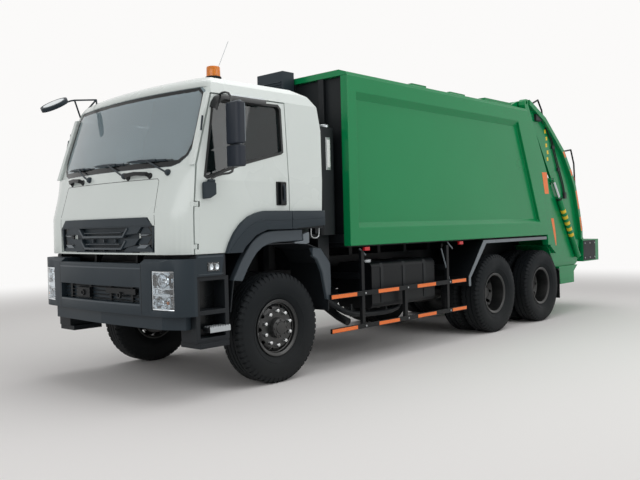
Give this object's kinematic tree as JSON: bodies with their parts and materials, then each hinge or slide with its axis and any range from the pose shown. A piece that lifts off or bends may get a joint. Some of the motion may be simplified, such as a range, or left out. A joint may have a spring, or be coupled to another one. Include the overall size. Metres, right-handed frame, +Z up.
{
  "type": "garbage truck",
  "caption": "Rear-loading garbage truck with a tilting cab, a closed load body, twin rear axles, a lifting tailgate with a packer, and a folding loading tub.",
  "frame": {"origin": "on the ground, under the middle of the truck with its mirrors and tub", "axes": "+X to the truck's left, +Y to its rear, +Z up"},
  "size_m": [2.94, 8.89, 3.4413],
  "materials": {
    "cab_paint": "gloss white paint",
    "body_paint": "gloss green paint",
    "chassis_paint": "satin black paint",
    "steel_plate": "worn dark paint on steel plate",
    "cast_iron": "black painted casting",
    "machined_steel": "machined",
    "chrome_rod": "hard chrome",
    "tank_aluminium": "brushed",
    "trim_plastic": "grained",
    "gloss_trim": "gloss black",
    "glass": "tinted",
    "lamp_lens": "clear lens",
    "amber_lens": "amber lens",
    "red_lens": "red lens",
    "orange_reflector": "retroreflective sheet",
    "mirror_glass": "silvered",
    "tyre_rubber": "matt",
    "hose_rubber": "matt",
    "dash_plastic": "grained",
    "seat_fabric": "woven"
  },
  "bodies": {
    "chassis": {"frame": "chassis_paint", "engine": "cast_iron", "front_axle": "cast_iron", "rear_axles": "cast_iron", "rear_suspension": "chassis_paint", "bumper": "trim_plastic", "headlamps": "lamp_lens", "front_mudguards": "trim_plastic", "fuel_tank": "tank_aluminium", "battery_box": "chassis_paint", "exhaust": "steel_plate", "side_guards": "chassis_paint", "rear_fenders": "steel_plate", "air_intake": "trim_plastic", "hydraulic_tank": "steel_plate", "body_floor": "steel_plate", "body_sides": "body_paint", "body_roof": "body_paint", "body_headboard": "steel_plate"},
    "cab": {"cab_sides": "cab_paint", "cab_front": "cab_paint", "grille": "trim_plastic", "cab_glass": "glass", "cab_roof": "cab_paint", "cab_back": "cab_paint", "cab_floor": "chassis_paint", "dashboard": "dash_plastic", "seats": "seat_fabric", "beacon": "amber_lens", "kerb_mirror": "trim_plastic"},
    "left_door": {"door_left": "cab_paint", "door_glass_left": "glass", "mirror_left": "trim_plastic"},
    "left_knuckle": {"knuckle_left": "cast_iron"},
    "front_left_wheel": {"front_tyre_left": "tyre_rubber", "front_wheel_left": "cast_iron"},
    "rear_1_left_wheel": {"rear_tyre_1_left": "tyre_rubber", "rear_wheel_1_left": "cast_iron"},
    "rear_2_left_wheel": {"rear_tyre_2_left": "tyre_rubber", "rear_wheel_2_left": "cast_iron"},
    "right_door": {"door_right": "cab_paint", "door_glass_right": "glass", "mirror_right": "trim_plastic"},
    "right_knuckle": {"knuckle_right": "cast_iron"},
    "front_right_wheel": {"front_tyre_right": "tyre_rubber", "front_wheel_right": "cast_iron"},
    "rear_1_right_wheel": {"rear_tyre_1_right": "tyre_rubber", "rear_wheel_1_right": "cast_iron"},
    "rear_2_right_wheel": {"rear_tyre_2_right": "tyre_rubber", "rear_wheel_2_right": "cast_iron"},
    "tailgate": {"tailgate_sides": "body_paint", "tailgate_shell": "body_paint", "packer_barrels": "body_paint", "grab_rails": "steel_plate"},
    "packer_slide": {"packer_slide": "body_paint"},
    "packer_blade": {"packer_blade": "body_paint"},
    "loading_tub": {"loading_tub": "steel_plate"}
  },
  "joints": [
    {"name": "cab_tilt", "type": "hinge", "parent": "chassis", "child": "cab", "pos_m": [0, -4.295, 1.09], "axis": [1, 0, 0], "range_deg": [0, 45]},
    {"name": "left_door_hinge", "type": "hinge", "parent": "cab", "child": "left_door", "pos_m": [1.182, -4.157, 1.297], "axis": [0, -0.0616, -0.9981], "range_deg": [0, 70]},
    {"name": "right_door_hinge", "type": "hinge", "parent": "cab", "child": "right_door", "pos_m": [-1.182, -4.157, 1.297], "axis": [0, 0.0616, 0.9981], "range_deg": [0, 70]},
    {"name": "left_steer", "type": "hinge", "parent": "chassis", "child": "left_knuckle", "pos_m": [0.832, -3.145, 0.535], "axis": [0, 0, 1], "range_deg": [-35, 35]},
    {"name": "right_steer", "type": "hinge", "parent": "chassis", "child": "right_knuckle", "pos_m": [-0.832, -3.145, 0.535], "axis": [0, 0, 1], "range_deg": [-35, 35]},
    {"name": "front_left_spin", "type": "hinge", "parent": "left_knuckle", "child": "front_left_wheel", "pos_m": [1.03, -3.145, 0.535], "axis": [1, 0, 0], "continuous": true},
    {"name": "front_right_spin", "type": "hinge", "parent": "right_knuckle", "child": "front_right_wheel", "pos_m": [-1.03, -3.145, 0.535], "axis": [1, 0, 0], "continuous": true},
    {"name": "rear_1_left_spin", "type": "hinge", "parent": "chassis", "child": "rear_1_left_wheel", "pos_m": [0.925, 0.935, 0.535], "axis": [1, 0, 0], "continuous": true},
    {"name": "rear_1_right_spin", "type": "hinge", "parent": "chassis", "child": "rear_1_right_wheel", "pos_m": [-0.925, 0.935, 0.535], "axis": [1, 0, 0], "continuous": true},
    {"name": "rear_2_left_spin", "type": "hinge", "parent": "chassis", "child": "rear_2_left_wheel", "pos_m": [0.925, 2.305, 0.535], "axis": [1, 0, 0], "continuous": true},
    {"name": "rear_2_right_spin", "type": "hinge", "parent": "chassis", "child": "rear_2_right_wheel", "pos_m": [-0.925, 2.305, 0.535], "axis": [1, 0, 0], "continuous": true},
    {"name": "tailgate_lift", "type": "hinge", "parent": "chassis", "child": "tailgate", "pos_m": [0, 1.915, 3.25], "axis": [1, 0, 0], "range_deg": [0, 85]},
    {"name": "packer_travel", "type": "slide", "parent": "tailgate", "child": "packer_slide", "axis": [0, -0.5807, 0.8141], "range_m": [0, 0.95]},
    {"name": "blade_sweep", "type": "hinge", "parent": "packer_slide", "child": "packer_blade", "pos_m": [0, 3.105, 1.5], "axis": [1, 0, 0], "range_deg": [0, 90]},
    {"name": "tub_fold", "type": "hinge", "parent": "tailgate", "child": "loading_tub", "pos_m": [0, 3.817, 1.195], "axis": [1, 0, 0], "range_deg": [0, 90]}
  ],
  "couplings": [
    {"joint": "right_steer", "follows": "left_steer", "ratio": 1}
  ]
}
